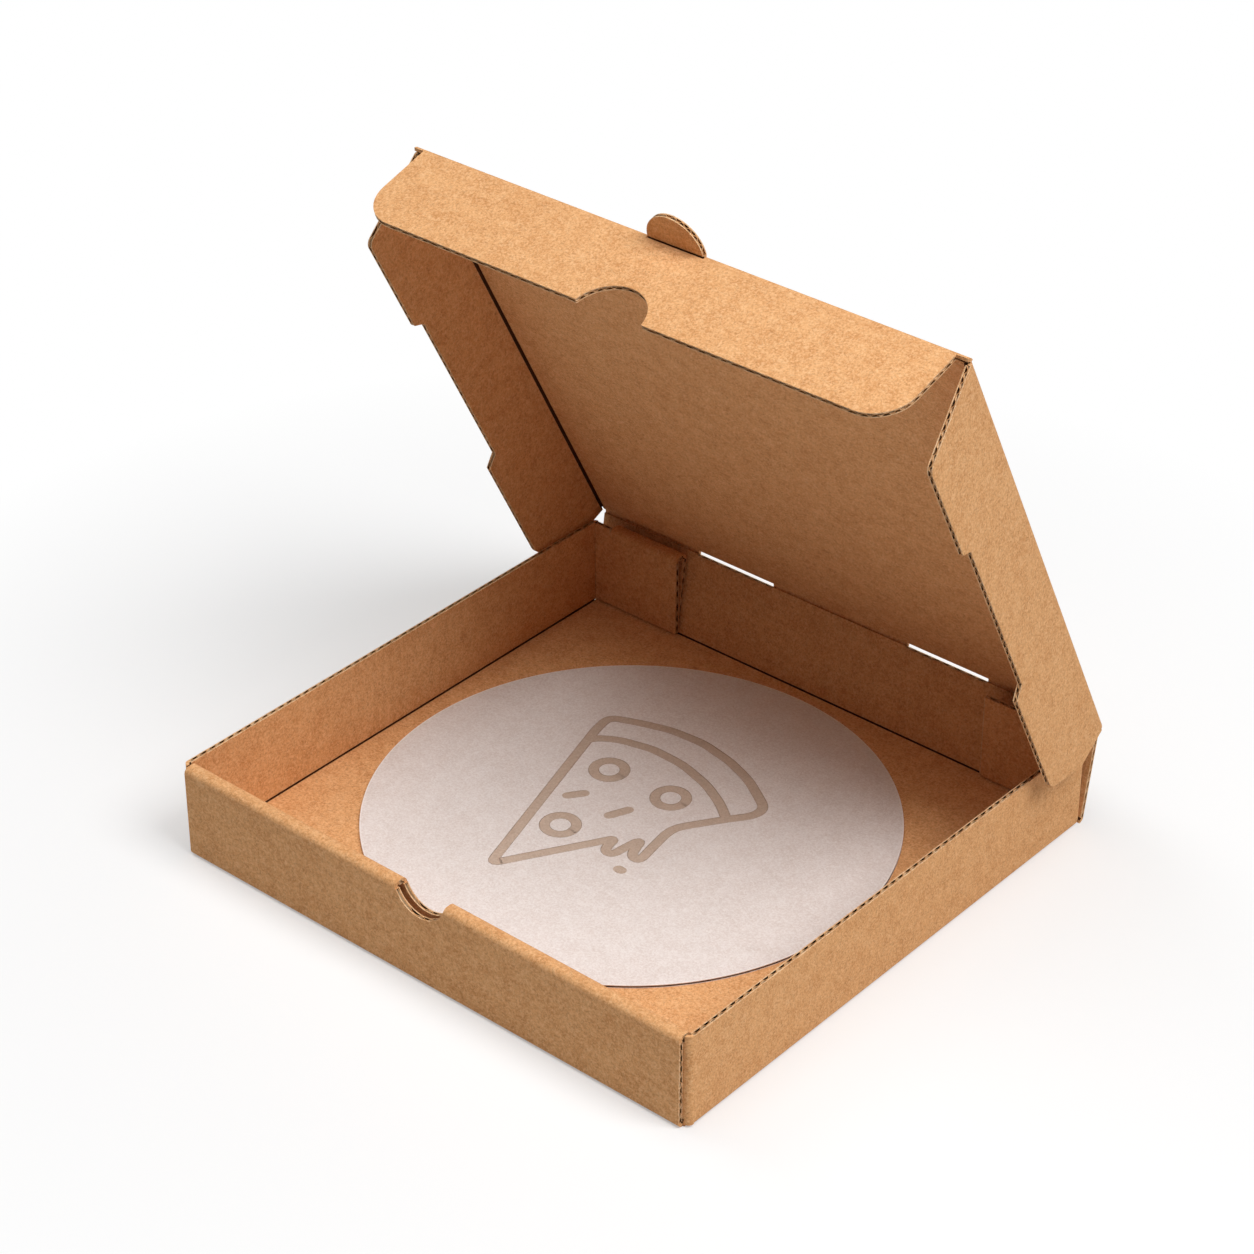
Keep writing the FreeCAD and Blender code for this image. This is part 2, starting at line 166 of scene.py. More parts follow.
KRAFT = sheet_paper("kraft_liner", linear(232, 174, 118), linear(220, 159, 103), linear(156, 99, 52),
                    linear(248, 204, 155), bands=0.07, rough=0.86)
RAW_EDGE = sheet_paper("kraft_raw_edge", linear(236, 194, 148), linear(216, 168, 120),
                       linear(158, 104, 62), linear(246, 214, 176))
# Painted shade: this dark brown closes the flutes' hollows at a cut, where there is only shadow.
HOLLOW_SHADE = sheet_paper("flute_hollow_painted_shade", linear(96, 56, 29), linear(78, 44, 22), linear(52, 29, 13),
                     linear(112, 70, 40))
FLUTING = sheet_paper("fluting_paper", linear(206, 150, 98), linear(182, 126, 78), linear(128, 80, 45),
                      linear(222, 172, 122))
# Painted shade: this dark brown lies on the inside of a fold and in thin lines beside it, where the crease
# is in shadow.
CREASE_SHADE = sheet_paper("kraft_crease_painted_shade", linear(84, 48, 24), linear(68, 38, 18), linear(50, 27, 12),
                     linear(98, 60, 34))
BOARD_MATERIALS = (KRAFT, RAW_EDGE, HOLLOW_SHADE, FLUTING, CREASE_SHADE)
RAW_EDGE_SLOT, HOLLOW_SHADE_SLOT, FLUTING_SLOT, CREASE_SHADE_SLOT = 1, 2, 3, 4


# The corrugated board itself, 1.5 mm E flute. A flat of it is cut to an outline. Its two liners run
# out to the cut, and between them the fluting swings from one to the other in front of hollows,
# closed a little way in and painted dark as painted shade. A fold is the same board, bent round,
# with its inside pressed in and painted dark as painted shade.
BOARD = 1.5 * MM
LINER = 0.32 * MM
CUT_DEPTH = 1.3 * MM
FLUTING_THICK = 0.26 * MM
CUT_STEP = 0.38 * MM
RIM = 1.2 * MM
GROOVE = 0.5 * MM
# So near to a line of the outline, a point counts as on it.
NEAR = 0.1 * MM
# A pressed line, painted dark as crease shade, is a thin film on the inner face.
LINE_THICK, LINE_RISE, LINE_LAP = 0.03 * MM, 0.02 * MM, 0.05 * MM


def flute_height(x, y):
    """How high the fluting is over the board's middle at a point of the flat sheet. It swings fast from
    one liner to the other."""
    swing = BOARD / 2 - LINER - FLUTING_THICK / 2
    wander = 0.4 * MM * math.sin(x / (5.1 * MM)) + 0.3 * MM * math.sin(x / (2.3 * MM) + y / (8 * MM))
    wave = 1.7 * math.sin(2 * math.pi * (y + 0.85 * x + wander) / FLUTE_PITCH)
    return swing * max(-1, min(1, wave))


def note_sheet_place(mesh):
    """Keep each corner's place on the flat sheet as the piece's UV map."""
    layer = mesh.loops.layers.uv.verify()
    for face in mesh.faces:
        for loop in face.loops:
            loop[layer].uv = (loop.vert.co.x, loop.vert.co.y)


def only(kind, parts):
    """Of what an operator made, the parts of one kind."""
    return [part for part in parts if isinstance(part, kind)]


def raise_layers(mesh, top, layers):
    """Build a flat up by layers, one on the other, and give back its new top."""
    for layer in layers:
        made = bmesh.ops.extrude_face_region(mesh, geom=top)["geom"]
        bmesh.ops.translate(mesh, vec=(0, 0, layer), verts=only(bmesh.types.BMVert, made))
        top = only(bmesh.types.BMFace, made)
    bmesh.ops.recalc_face_normals(mesh, faces=mesh.faces)
    return top


def cut_board(corners, rounds=(), folded=lambda x, y: False):
    """A flat of board on its own XY plane. rounds pairs a corner's number with its radius, and folded
    says whether the outline at a point runs on into a fold, where nothing is cut."""
    mesh = bmesh.new()
    points = [mesh.verts.new((x, y, -BOARD / 2)) for x, y in corners]
    mesh.faces.new(points)
    for number, radius in rounds:
        before = Vector(corners[number - 1]) - Vector(corners[number])
        after = Vector(corners[(number + 1) % len(corners)]) - Vector(corners[number])
        reach = radius / math.tan(before.angle(after) / 2)
        bmesh.ops.bevel(mesh, geom=[points[number]], offset=reach, segments=10, profile=0.5,
                        affect="VERTICES", material=-1)
    outline = list(mesh.edges)
    # A rim keeps the fine steps of the cut away from the flat's middle.
    lengths, widths = zip(*corners)
    if min(max(lengths) - min(lengths), max(widths) - min(widths)) > 5 * RIM:
        bmesh.ops.inset_region(mesh, faces=list(mesh.faces), thickness=RIM, depth=0, use_even_offset=True,
                               use_boundary=True)
        outline = [edge for edge in mesh.edges if edge.is_boundary]
    for edge in outline:
        cuts = int(edge.calc_length() / CUT_STEP)
        if cuts:
            bmesh.ops.subdivide_edges(mesh, edges=[edge], cuts=cuts)
    raise_layers(mesh, list(mesh.faces), (LINER, BOARD - 2 * LINER, LINER))

    core = []
    for face in mesh.faces:
        middle = face.calc_center_median()
        if abs(face.normal.z) < 0.5 and not folded(middle.x, middle.y):
            face.material_index = RAW_EDGE_SLOT
            if abs(middle.z) < LINER:
                core.append(face)
    if core:
        ribbon = only(bmesh.types.BMFace, bmesh.ops.duplicate(mesh, geom=core)["geom"])
        # The hollows are closed a little way in, and the closing and its sides are painted dark: painted
        # shade.
        bmesh.ops.inset_region(mesh, faces=core, thickness=0, depth=-CUT_DEPTH, use_even_offset=True)
        for face in core:
            face.material_index = HOLLOW_SHADE_SLOT
            for edge in face.edges:
                for beside in edge.link_faces:
                    beside.material_index = HOLLOW_SHADE_SLOT
        whole = bmesh.ops.solidify(mesh, geom=ribbon, thickness=CUT_DEPTH * 0.9)["geom"]
        fluting = set(only(bmesh.types.BMFace, whole)) | set(ribbon)
        for face in fluting:
            face.material_index = FLUTING_SLOT
        for vert in set(vert for face in fluting for vert in face.verts):
            side = FLUTING_THICK / 2 if vert.co.z > 0 else -FLUTING_THICK / 2
            vert.co.z = flute_height(vert.co.x, vert.co.y) + side
    note_sheet_place(mesh)
    return mesh


def finish_piece(name, mesh, place, body, blend=None, materials=BOARD_MATERIALS):
    """Put a mesh in its place on the box and let it move with its body. Given blend, the piece is only
    fixed in place and joins no body; the second body and the bend's start and end that blend holds are not
    used."""
    mesh.transform(place)
    data = bpy.data.meshes.new(name)
    mesh.to_mesh(data)
    mesh.free()
    for material in materials:
        data.materials.append(material)
    piece = bpy.data.objects.new(name, data)
    bpy.context.collection.objects.link(piece)
    if blend:
        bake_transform(piece)
    else:
        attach(piece, body)
    return piece


def flat_piece(name, body, corners, place, rounds=(), folded=lambda x, y: False):
    return finish_piece(name, cut_board(corners, rounds, folded), place, body)


def bend_mesh(centre, axis, section, turn, steps=8):
    """A bend of board: the section, four corners across the board at the fold's start, swept round.
    Its inside is pressed in, and its inner faces are painted dark: painted shade of the crease."""
    mesh = bmesh.new()
    corners = [mesh.verts.new(corner) for corner in section]
    edges = [mesh.edges.new((corners[number - 1], corners[number])) for number in range(4)]
    bmesh.ops.spin(mesh, geom=corners + edges, cent=centre, axis=axis, angle=turn, steps=steps)
    bmesh.ops.holes_fill(mesh, edges=mesh.edges, sides=4)
    bmesh.ops.recalc_face_normals(mesh, faces=mesh.faces)
    along = Vector(axis).normalized()
    layer = mesh.loops.layers.uv.verify()
    for face in mesh.faces:
        outward = face.calc_center_median() - Vector(centre)
        outward -= along * outward.dot(along)
        # The bend's inner faces are painted dark: painted shade of the crease.
        if face.normal.dot(outward) < 0 and abs(face.normal.dot(along)) < 0.5 and outward.length < BOARD:
            face.material_index = CREASE_SHADE_SLOT
        for loop in face.loops:
            loop[layer].uv = (0.5 * MM * face.index, loop.vert.co.dot(along))
    return mesh


def fold_mesh(near, far, arm_from, arm_to, reach, press=0, share=1):
    """The bend between two flats that meet at the line from near to far. The arms point along the
    flats, away from that line, and each flat starts at reach from it. press is how wide a line of
    painted crease shade lies on each flat's inner face, and share how much of the turn is made."""
    axis = (far - near).normalized()
    arm_from, arm_to = arm_from.normalized(), arm_to.normalized()
    inner = arm_from.angle(arm_to)
    centre = near + (arm_from + arm_to).normalized() * (reach / math.cos(inner / 2))
    start = near + arm_from * reach
    outside = (start - centre).normalized() * (BOARD / 2)
    inside = (start - centre).normalized() * (BOARD / 2 - GROOVE)
    section = [start + outside, start - inside, start - inside + far - near, start + outside + far - near]
    # The sweep goes from the first flat towards the second.
    way = 1 if axis.dot(arm_from.cross(arm_to)) < 0 else -1
    mesh = bend_mesh(centre, axis * way, section, (math.pi - inner) * share)
    # Thin dark films along the crease on each flat's inner face: painted shade of the pressed crease.
    if press:
        swept = set(mesh.faces)
        for arm, other in ((arm_from, arm_to), (arm_to, arm_from)):
            inward = (other - arm * other.dot(arm)).normalized()
            middle = (near + far) / 2 + arm * (reach + press / 2 - LINE_LAP)
            middle += inward * (BOARD / 2 + LINE_RISE)
            sides = Matrix((far - near, arm * press, inward * LINE_THICK)).transposed().to_4x4()
            bmesh.ops.create_cube(mesh, size=1, matrix=Matrix.Translation(middle) @ sides)
        for face in set(mesh.faces) - swept:
            face.material_index = CREASE_SHADE_SLOT
        bmesh.ops.recalc_face_normals(mesh, faces=mesh.faces)
    return mesh


# The tray: the floor, the walls folded up from it, and the front wall rolled over into a double wall
# that holds the side walls' front flaps. It is one sheet, so all of it rides on one body. A round bite
# for a fingertip is cut out of both layers of the front wall.
FOLD = 1.8 * MM
SIDE = 90 * MM
FRONT = -87 * MM
BACK = 87 * MM
WALL_TOP = 29 * MM
REAR_AXIS = 83.7 * MM
ROLL_SIDE = 87.8 * MM
ROLL_BACK = -82.3 * MM
NOTCH_HALF = 8.8 * MM
NOTCH_RADIUS = 9.031 * MM
NOTCH_MIDDLE = 31.031 * MM
LEAN = math.radians(9)
HINGE = Vector((0, 90.73745 * MM, 30.05 * MM))
START = 1.05 * MM
PLAY = 0.1 * MM
INNER_FOOT = 1.6 * MM
TUCK_LOW, TUCK_HIGH, TUCK_END, TUCK_ROOT = 2.5 * MM, 26.8 * MM, 54.2 * MM, 88.2 * MM
# The width of the line of painted crease shade along a side or back wall's foot.
FOOT_SHADE_LINE = 0.15 * MM
CORNER_LOW = 0.8 * MM


def stand(x, y, z, right, up):
    """The place of a flat whose own X runs along right and whose own Y runs along up."""
    right, up = Vector(right).normalized(), Vector(up).normalized()
    turn = Matrix((right, up, right.cross(up))).transposed().to_4x4()
    return Matrix.Translation((x, y, z)) @ turn


def arc(middle, radius, first, last, steps=22):
    """Points of an arc on the flat sheet, from one angle to another in degrees."""
    angles = [math.radians(first + (last - first) * step / steps) for step in range(steps + 1)]
    across, up = middle
    return [(across + radius * math.cos(angle), up + radius * math.sin(angle)) for angle in angles]


def notched_wall(low, high):
    """The outline of a front wall's layer with its share of the finger notch, from corner to corner."""
    rise = math.degrees(math.asin((NOTCH_MIDDLE - high) / NOTCH_RADIUS))
    bite = arc((0, NOTCH_MIDDLE), NOTCH_RADIUS, -rise, -180 + rise)
    return [(-ROLL_SIDE, low), (ROLL_SIDE, low), (ROLL_SIDE, high)] + bite + [(-ROLL_SIDE, high)]


def roll_folds(x, y):
    return abs(x) < ROLL_SIDE - NEAR and (y < roll_low + NEAR or y > roll_high - 0.2 * NEAR)


EAST, NORTH, UP = Vector((1, 0, 0)), Vector((0, 1, 0)), Vector((0, 0, 1))
floor_x, floor_front, floor_back = SIDE - FOLD, FRONT + FOLD, BACK - FOLD
roll_low, roll_high = FOLD, WALL_TOP - FOLD
roll_mid = WALL_TOP - BOARD / 2
outer_y, inner_y = FRONT + BOARD / 2, ROLL_BACK - BOARD / 2
tray_pieces = [
    flat_piece("tray_floor", "tray",
               [(-floor_x, floor_front), (floor_x, floor_front),
                (floor_x, floor_back), (-floor_x, floor_back)],
               Matrix.Translation((0, 0, BOARD / 2)), (), lambda x, y: True),
    flat_piece("front_wall_outer", "tray", notched_wall(roll_low, roll_high),
               stand(0, outer_y, 0, EAST, UP), (), roll_folds),
    flat_piece("front_wall_inner", "tray", notched_wall(INNER_FOOT, roll_high),
               stand(0, inner_y, 0, EAST, UP), (), lambda x, y: y > FOLD + NEAR and roll_folds(x, y)),
]
for side, name in ((-1, "left"), (1, "right")):
    # The rolled top on this side of the notch: a narrow strip between two bends. It starts a little
    # inside the notch, so that it meets the round of the bite.
    ends = sorted((side * NOTCH_HALF * 0.97, side * ROLL_SIDE))
    strip_front, strip_back = FRONT + FOLD, ROLL_BACK - FOLD
    strip = [(ends[0], strip_front), (ends[1], strip_front), (ends[1], strip_back), (ends[0], strip_back)]
    tray_pieces.append(flat_piece(
        f"roll_top_{name}", "tray", strip, Matrix.Translation((0, 0, roll_mid)), (),
        lambda x, y: not strip_front + 0.5 * NEAR < y < strip_back - 0.5 * NEAR))
    for part, y, arms in (("outer", outer_y, (-UP, NORTH)), ("inner", inner_y, (-UP, -NORTH))):
        bend = fold_mesh(Vector((ends[0], y, roll_mid)), Vector((ends[1], y, roll_mid)), *arms, START)
        tray_pieces.append(finish_piece(f"roll_bend_{part}_{name}", bend, Matrix(), "tray"))
    # The side wall, its foot, and the front flap that runs on from it inside the roll.
    wall_front = FRONT + BOARD + PLAY + FOLD
    x = side * (SIDE - BOARD / 2)
    wall = [(FOLD, wall_front), (FOLD, REAR_AXIS), (WALL_TOP, REAR_AXIS), (WALL_TOP, wall_front)]
    tray_pieces.append(flat_piece(
        f"side_wall_{name}", "tray", wall, stand(x, 0, 0, UP, NORTH), (),
        lambda height, y: height < FOLD + NEAR or not wall_front + NEAR < y < REAR_AXIS - NEAR))
    foot = fold_mesh(Vector((x, wall_front, BOARD / 2)), Vector((x, REAR_AXIS, BOARD / 2)),
                     -side * EAST, UP, START, FOOT_SHADE_LINE)
    tray_pieces.append(finish_piece(f"side_foot_{name}", foot, Matrix(), "tray"))
    corner_y = FRONT + BOARD + PLAY + BOARD / 2
    corner = fold_mesh(Vector((x, corner_y, CORNER_LOW)), Vector((x, corner_y, WALL_TOP)),
                       NORTH, -side * EAST, START)
    tray_pieces.append(finish_piece(f"front_corner_{name}", corner, Matrix(), "tray"))
    tuck = [(TUCK_LOW, TUCK_END), (TUCK_HIGH, TUCK_END), (TUCK_HIGH, TUCK_ROOT), (TUCK_LOW, TUCK_ROOT)]
    tray_pieces.append(flat_piece(
        f"front_corner_flap_{name}", "tray", tuck, stand(0, corner_y, 0, UP, side * EAST), (),
        lambda height, along: along > TUCK_ROOT - NEAR))

front_foot = fold_mesh(Vector((-ROLL_SIDE, outer_y, BOARD / 2)), Vector((ROLL_SIDE, outer_y, BOARD / 2)),
                       NORTH, UP, START)
tray_pieces.append(finish_piece("front_foot", front_foot, Matrix(), "tray"))

# The back wall leans back from its bend. Its top edge dips at the two slots in the lid's crease.
back_arm = Vector((0, math.sin(LEAN), math.cos(LEAN)))
back_run = (HINGE - Vector((0, BACK - FOLD, FOLD))).dot(back_arm)
back_foot = Vector((0, BACK - FOLD, FOLD)) + Vector((0, math.cos(LEAN), -math.sin(LEAN))) * START
slot_low, slot_high, slot_drop = 24.5 * MM, 53 * MM, 1.6 * MM
edge, lip = back_run - START, back_run - slot_drop
back_outline = [(-SIDE, 0), (SIDE, 0), (SIDE, edge),
                (slot_high, edge), (slot_high, lip), (slot_low, lip), (slot_low, edge),
                (-slot_low, edge), (-slot_low, lip), (-slot_high, lip), (-slot_high, edge), (-SIDE, edge)]


def back_wall_folds(x, y):
    if abs(x) > SIDE - NEAR:
        return False
    return y < NEAR or (abs(y - edge) < 0.5 * NEAR and not slot_low < abs(x) < slot_high)


tray_pieces.append(flat_piece("back_wall", "tray", back_outline, stand(*back_foot, EAST, back_arm), (),
                              back_wall_folds))
foot_reach = START * math.tan((math.pi / 2 - LEAN) / 2)
foot_corner = Vector((0, BACK - FOLD, BOARD / 2)) + NORTH * foot_reach
tray_pieces.append(finish_piece(
    "back_foot",
    fold_mesh(foot_corner - SIDE * EAST, foot_corner + SIDE * EAST, -NORTH, back_arm, foot_reach,
              FOOT_SHADE_LINE), Matrix(), "tray"))
for piece in tray_pieces:
    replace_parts(piece, "tray")


# The rear flaps, folded in from the side walls. The left one is doubled over at its top, and its
# free layer hangs behind it, pressed thin at its foot.
FLAP_LOW, FLAP_TOP, FLAP_REACH = 2 * MM, 28.7 * MM, 32 * MM
FLAP_ROOT = 0.06 * MM
HEM_START, HEM_DEPTH, HEM_FOOT, HEM_FOOT_DEPTH = 6 * MM, 5.1 * MM, 6.5 * MM, 2.1 * MM
HEM_THINNED, HEM_FOOT_HALF = 0.66, 0.25 * MM
flap_y = REAR_AXIS + BOARD / 2
for side, name in ((-1, "left"), (1, "right")):
    body = f"rear_flap_{name}"
    axis = Vector((side * (SIDE - BOARD), REAR_AXIS, 0))
    place = stand(axis.x, flap_y, 0, UP, -side * EAST)
    if name == "right":
        outline = [(FLAP_LOW, FLAP_ROOT), (FLAP_TOP, FLAP_ROOT),
                   (FLAP_TOP, FLAP_REACH), (FLAP_LOW, FLAP_REACH)]
        mesh = cut_board(outline, (), lambda height, along: along < NEAR)
        # A pale line of raw-edge colour is painted down the front liner at its free end: a painted
        # highlight where the cut edge catches the light.
        line = 0.36 * MM
        before = set(mesh.faces)
        middle = ((FLAP_LOW + FLAP_TOP) / 2, FLAP_REACH - line / 2, BOARD / 2 + LINE_RISE)
        size = Matrix.Diagonal((FLAP_TOP - FLAP_LOW, line, LINE_THICK, 1))
        bmesh.ops.create_cube(mesh, size=1, matrix=Matrix.Translation(middle) @ size)
        for face in set(mesh.faces) - before:
            face.material_index = RAW_EDGE_SLOT
    else:
        bend_line = FLAP_TOP - FOLD
        outline = [(FLAP_LOW, FLAP_ROOT), (FLAP_TOP, FLAP_ROOT), (FLAP_TOP, HEM_START - NEAR),
                   (bend_line, HEM_START), (bend_line, FLAP_REACH), (FLAP_LOW, FLAP_REACH)]
        mesh = cut_board(outline, (), lambda height, along: along < NEAR or (
            abs(height - bend_line) < 0.5 * NEAR and along > HEM_START + NEAR))
    flap = finish_piece(f"rear_flap_{name}_sheet", mesh, place, body)
    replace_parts(flap, body)
    # The crease to the side wall turns about the wall's inner face.
    wall_in, wall_out = side * (SIDE - BOARD), side * SIDE
    section = [Vector((wall_in, REAR_AXIS, FLAP_LOW)), Vector((wall_out, REAR_AXIS, FLAP_LOW)),
               Vector((wall_out, REAR_AXIS, WALL_TOP)), Vector((wall_in, REAR_AXIS, WALL_TOP))]
    crease = bend_mesh(axis, UP * side, section, math.pi / 2)
    finish_piece(f"rear_crease_{name}", crease, Matrix(), "tray",
                 (body, axis + Vector((side * MM, 0, 0)), axis + Vector((0, MM, 0))))

# The doubled top: two bends, a strip between them, and the free layer that hangs behind.
hem_x, hem_end = HEM_START - (SIDE - BOARD), FLAP_REACH - (SIDE - BOARD)
hem_top, hem_back = FLAP_TOP - BOARD / 2, REAR_AXIS + HEM_DEPTH
for part, y, arms in (("front", flap_y, (-UP, NORTH)), ("rear", hem_back - BOARD / 2, (-UP, -NORTH))):
    hem = fold_mesh(Vector((hem_x, y, hem_top)), Vector((hem_end, y, hem_top)), *arms, START)
    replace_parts(finish_piece(f"hem_bend_{part}", hem, Matrix(), "rear_flap_left"), "rear_flap_left")
hem_strip = [(hem_x, REAR_AXIS + FOLD), (hem_end, REAR_AXIS + FOLD), (hem_end, hem_back - FOLD),
             (hem_x, hem_back - FOLD)]
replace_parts(flat_piece("hem_top", "rear_flap_left", hem_strip, Matrix.Translation((0, 0, hem_top)), (),
                       lambda x, y: hem_x + NEAR < x < hem_end - NEAR), "rear_flap_left")
layer_top, layer_length = FLAP_TOP - FOLD, hem_end - hem_x
layer = cut_board([(HEM_FOOT, 0), (layer_top, 0), (layer_top, layer_length), (HEM_FOOT, layer_length)], (),
                  lambda height, along: height > layer_top - NEAR)
for vert in layer.verts:
    down = (layer_top - vert.co.x) / (layer_top - HEM_FOOT)
    behind = HEM_DEPTH - BOARD
    drawn_in = (HEM_DEPTH - BOARD / 2) - (HEM_FOOT_DEPTH - HEM_FOOT_HALF)
    vert.co.z = vert.co.z * (1 - HEM_THINNED * down) + behind - drawn_in * down
layer_place = stand(hem_x, flap_y, 0, UP, EAST)
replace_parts(finish_piece("hem_layer", layer, layer_place, "rear_flap_left"), "rear_flap_left")


# The lid: a flat top creased to the back wall along its rear edge, with a half-round hole at its front
# that the tab was cut from. The crease is cut through in two slots, so that it folds easily.
LID_REACH = 164.5 * MM
LID_SIDE = SIDE + START
LID_OPEN = math.radians(62.7)
LID = Matrix.Translation(HINGE) @ Matrix.Rotation(-LID_OPEN, 4, "X")
TAB_RADIUS = 9.2 * MM
GAP = 0.3 * MM
FLAP_SIDE = 87.9 * MM
lid_front = -(LID_REACH - START)
lid_outline = [(-SIDE, lid_front)] + arc((0, lid_front), TAB_RADIUS + GAP, 180, 0) + [
    (SIDE, lid_front), (SIDE, -START), (-SIDE, -START)]


def lid_folds(x, y):
    if abs(x) > SIDE - NEAR:
        return True
    if y > -START - NEAR:
        return not slot_low < abs(x) < slot_high
    return y < lid_front + NEAR


lid = flat_piece("lid_top", "lid_panel", lid_outline, LID, (), lid_folds)
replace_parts(lid, "lid_panel")
lid_arm = LID.to_3x3() @ Vector((0, -1, 0))
for number, (low, high) in enumerate(((-SIDE, -slot_high), (-slot_low, slot_low), (slot_high, SIDE))):
    hinge_fold = fold_mesh(HINGE + EAST * low, HINGE + EAST * high, -back_arm, lid_arm, START)
    finish_piece(f"lid_crease_{number}", hinge_fold, Matrix(), "tray",
                 ("lid_panel", HINGE - back_arm * START, HINGE + lid_arm * START))


# The lid's front flap, turned in, with rounded corners and a half-moon bite in its free edge. The tab
# stands at the middle of its crease, squarely to it.
FRONT_FOLD = math.radians(80)
FLAP_DROP = 28 * MM
CORNER_TURN = 0.86
FLAP = LID @ Matrix.Translation((0, -LID_REACH, 0)) @ Matrix.Rotation(FRONT_FOLD, 4, "X")
moon_radius, moon_middle = 10.9 * MM, -29.2 * MM
moon_rise = math.degrees(math.asin(-(moon_middle + FLAP_DROP) / moon_radius))
corner_radius = 11 * MM
flap_outline = ([(-FLAP_SIDE, -START), (-FLAP_SIDE, -FLAP_DROP)]
                + arc((0, moon_middle), moon_radius, 180 - moon_rise, moon_rise)
                + [(FLAP_SIDE, -FLAP_DROP), (FLAP_SIDE, -START)])
front_flap = flat_piece("front_flap_sheet", "lid_front_flap", flap_outline, FLAP,
                        ((1, corner_radius), (len(flap_outline) - 2, corner_radius)),
                        lambda x, y: y > -START - NEAR and abs(x) < FLAP_SIDE - NEAR)
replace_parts(front_flap, "lid_front_flap")
crease = LID @ Vector((0, -LID_REACH, 0))
flap_arm = FLAP.to_3x3() @ Vector((0, -1, 0))
for side, name in ((-1, "left"), (1, "right")):
    ends = sorted((side * (TAB_RADIUS + GAP), side * FLAP_SIDE))
    fold = fold_mesh(crease + EAST * ends[0], crease + EAST * ends[1], -lid_arm, flap_arm, START)
    finish_piece(f"front_crease_{name}", fold, Matrix(), "lid_panel",
                 ("lid_front_flap", crease - lid_arm * START, crease + flap_arm * START))
    # Past the flap's end the crease runs on to the lid's corner, turned a little less, over the wall.
    ends = sorted((side * FLAP_SIDE, side * (LID_SIDE + GAP)))
    lip = fold_mesh(crease + EAST * ends[0], crease + EAST * ends[1], -lid_arm, flap_arm, START,
                    share=CORNER_TURN)
    finish_piece(f"front_crease_corner_{name}", lip, Matrix(), "lid_panel")

TAB = FLAP @ Matrix.Rotation(math.radians(-90), 4, "X")
tab_arm = TAB.to_3x3() @ Vector((0, -1, 0))
tab_outline = arc((0, -START), TAB_RADIUS, 180, 360, 30)
tab = flat_piece("tab_sheet", "lid_tab", tab_outline, TAB, (), lambda x, y: y > -START - NEAR)
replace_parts(tab, "lid_tab")
tab_fold = fold_mesh(crease - EAST * TAB_RADIUS, crease + EAST * TAB_RADIUS, flap_arm, tab_arm, START)
finish_piece("tab_crease", tab_fold, Matrix(), "lid_front_flap",
             ("lid_tab", crease + flap_arm * START, crease + tab_arm * START))


# The lid's side flaps, which hang outside the side walls when it is closed. Each has a slanted front
# end, a narrower waist and a wide tail with a rounded tip and a bent rear edge.
# Its outline, in millimetres: the drop from the crease, and the place back from the lid's front.
SIDE_FLAP = [(1.05, 1.2), (27.5, 9.5), (27.5, 44), (24.5, 46.5), (24.5, 106.5), (28.5, 109), (28.5, 152),
             (14, 162.8), (1.05, 163.7)]
FRONT_ROUND, TAIL_ROUND = (1, 2.5 * MM), (6, 5 * MM)
# The last of these is the width of the line of painted crease shade along a side flap's crease.
CREASE_FRONT, CREASE_REAR, CREASE_SHADE_LINE = 1.2 * MM, 1.5 * MM, 0.5 * MM
for side, name, turn in ((1, "right", 82), (-1, "left", 90)):
    body = f"lid_{name}_flap"
    crease_place = LID @ Matrix.Translation((side * LID_SIDE, 0, 0))
    place = crease_place @ Matrix.Rotation(math.radians(side * turn), 4, "Y")
    outline = [(side * drop * MM, -LID_REACH + back * MM) for drop, back in SIDE_FLAP]
    flap = flat_piece(f"side_flap_{name}", body, outline, place, (FRONT_ROUND, TAIL_ROUND),
                      lambda x, y: abs(x) < START + NEAR)
    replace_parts(flap, body)
    arm = place.to_3x3() @ Vector((side, 0, 0))
    middle = crease_place @ Vector((0, 0, 0))
    near = crease_place @ Vector((0, -LID_REACH + CREASE_FRONT, 0))
    far = crease_place @ Vector((0, -CREASE_REAR, 0))
    fold = fold_mesh(near, far, -side * EAST, arm, START, CREASE_SHADE_LINE)
    finish_piece(f"side_crease_{name}", fold, Matrix(), "lid_panel",
                 (body, middle - side * EAST * START, middle + arm * START))


# The liner: a round of pale greaseproof card that lies loose on the floor, a little off the middle.
# Its cut edge shows the card's layers. A plain slice of pizza is printed on it in a thin tan line.
LINER_MIDDLE = Vector((-5.5 * MM, 4 * MM, 0))
LINER_RADIUS = 76 * MM
LINER_LOW, LINER_TOP = BOARD, 2.5 * MM
FOOT_LAYER, MIDDLE_LAYER, TOP_LAYER = 0.3 * MM, 0.45 * MM, 0.25 * MM
EDGE_SINK, RIM_WIDTH = 0.25 * MM, 0.35 * MM
EDGE_SLOT, RIM_SLOT = 1, 2
CARD = sheet_paper("liner_card", linear(233, 225, 221), linear(227, 217, 212), linear(208, 193, 184),
                   linear(246, 241, 238), rough=0.7)
CARD_EDGE = sheet_paper("liner_card_edge", linear(150, 112, 84), linear(130, 94, 70), linear(100, 70, 50),
                        linear(164, 126, 98))
CARD_RIM = sheet_paper("liner_card_rim", linear(246, 240, 236), linear(240, 233, 228),
                       linear(226, 214, 206), linear(250, 246, 243), rough=0.8)

